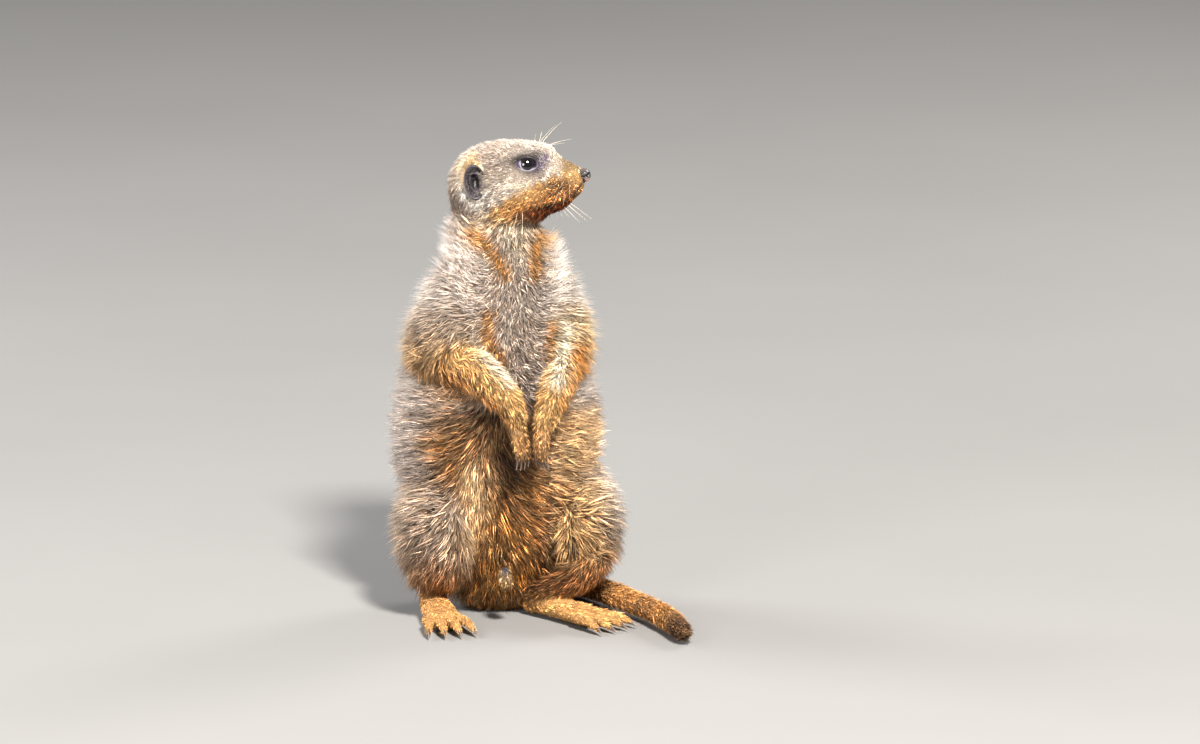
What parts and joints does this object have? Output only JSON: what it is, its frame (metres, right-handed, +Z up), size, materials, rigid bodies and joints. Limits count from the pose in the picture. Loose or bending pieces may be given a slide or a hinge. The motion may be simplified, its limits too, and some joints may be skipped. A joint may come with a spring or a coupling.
{
  "type": "meerkat model",
  "caption": "Life-size still model of a meerkat sitting upright, forearms held before its belly, head turned to its left, tail laid forward.",
  "frame": {"origin": "under the middle of the box, on the floor that the rump, soles and tail rest on", "axes": "+Z up; +X towards the animal's left, the side that its nose points to; -Y roughly the way its chest faces"},
  "size_m": [0.1748, 0.1562, 0.2786],
  "materials": {
    "fur_head": "short pale grey-beige grizzled fur, orange-brown at the muzzle",
    "fur_body": "coarse grey-brown fur with banded white-tipped guard hairs",
    "fur_limb": "short ochre fur",
    "fur_tail": "short orange-brown fur, darker at the tip",
    "ear_skin": "dark, matt",
    "nose_skin": "dark, moist, pebbled",
    "eye": "near black, wet gloss",
    "claw": "dark horn, satin"
  },
  "bodies": {
    "root": {"trunk": "fur_body", "neck": "fur_body", "head": "fur_head", "nose": "nose_skin", "tail_base": "fur_tail", "tail_middle": "fur_tail", "tail_end": "fur_tail", "ear_right": "ear_skin", "eye_right": "eye", "upper_arm_right": "fur_body", "forearm_right": "fur_limb", "hand_right": "fur_limb", "thigh_right": "fur_body", "shank_right": "fur_limb", "foot_right": "fur_limb", "claw_hand_right_1": "claw", "claw_hand_right_2": "claw", "claw_hand_right_3": "claw", "claw_hand_right_4": "claw", "claw_foot_right_1": "claw", "claw_foot_right_2": "claw", "claw_foot_right_3": "claw", "claw_foot_right_4": "claw", "ear_left": "ear_skin", "eye_left": "eye", "upper_arm_left": "fur_body", "forearm_left": "fur_limb", "hand_left": "fur_limb", "thigh_left": "fur_body", "shank_left": "fur_limb", "foot_left": "fur_limb", "claw_hand_left_1": "claw", "claw_hand_left_2": "claw", "claw_hand_left_3": "claw", "claw_hand_left_4": "claw", "claw_foot_left_1": "claw", "claw_foot_left_2": "claw", "claw_foot_left_3": "claw", "claw_foot_left_4": "claw"}
  },
  "joints": []
}
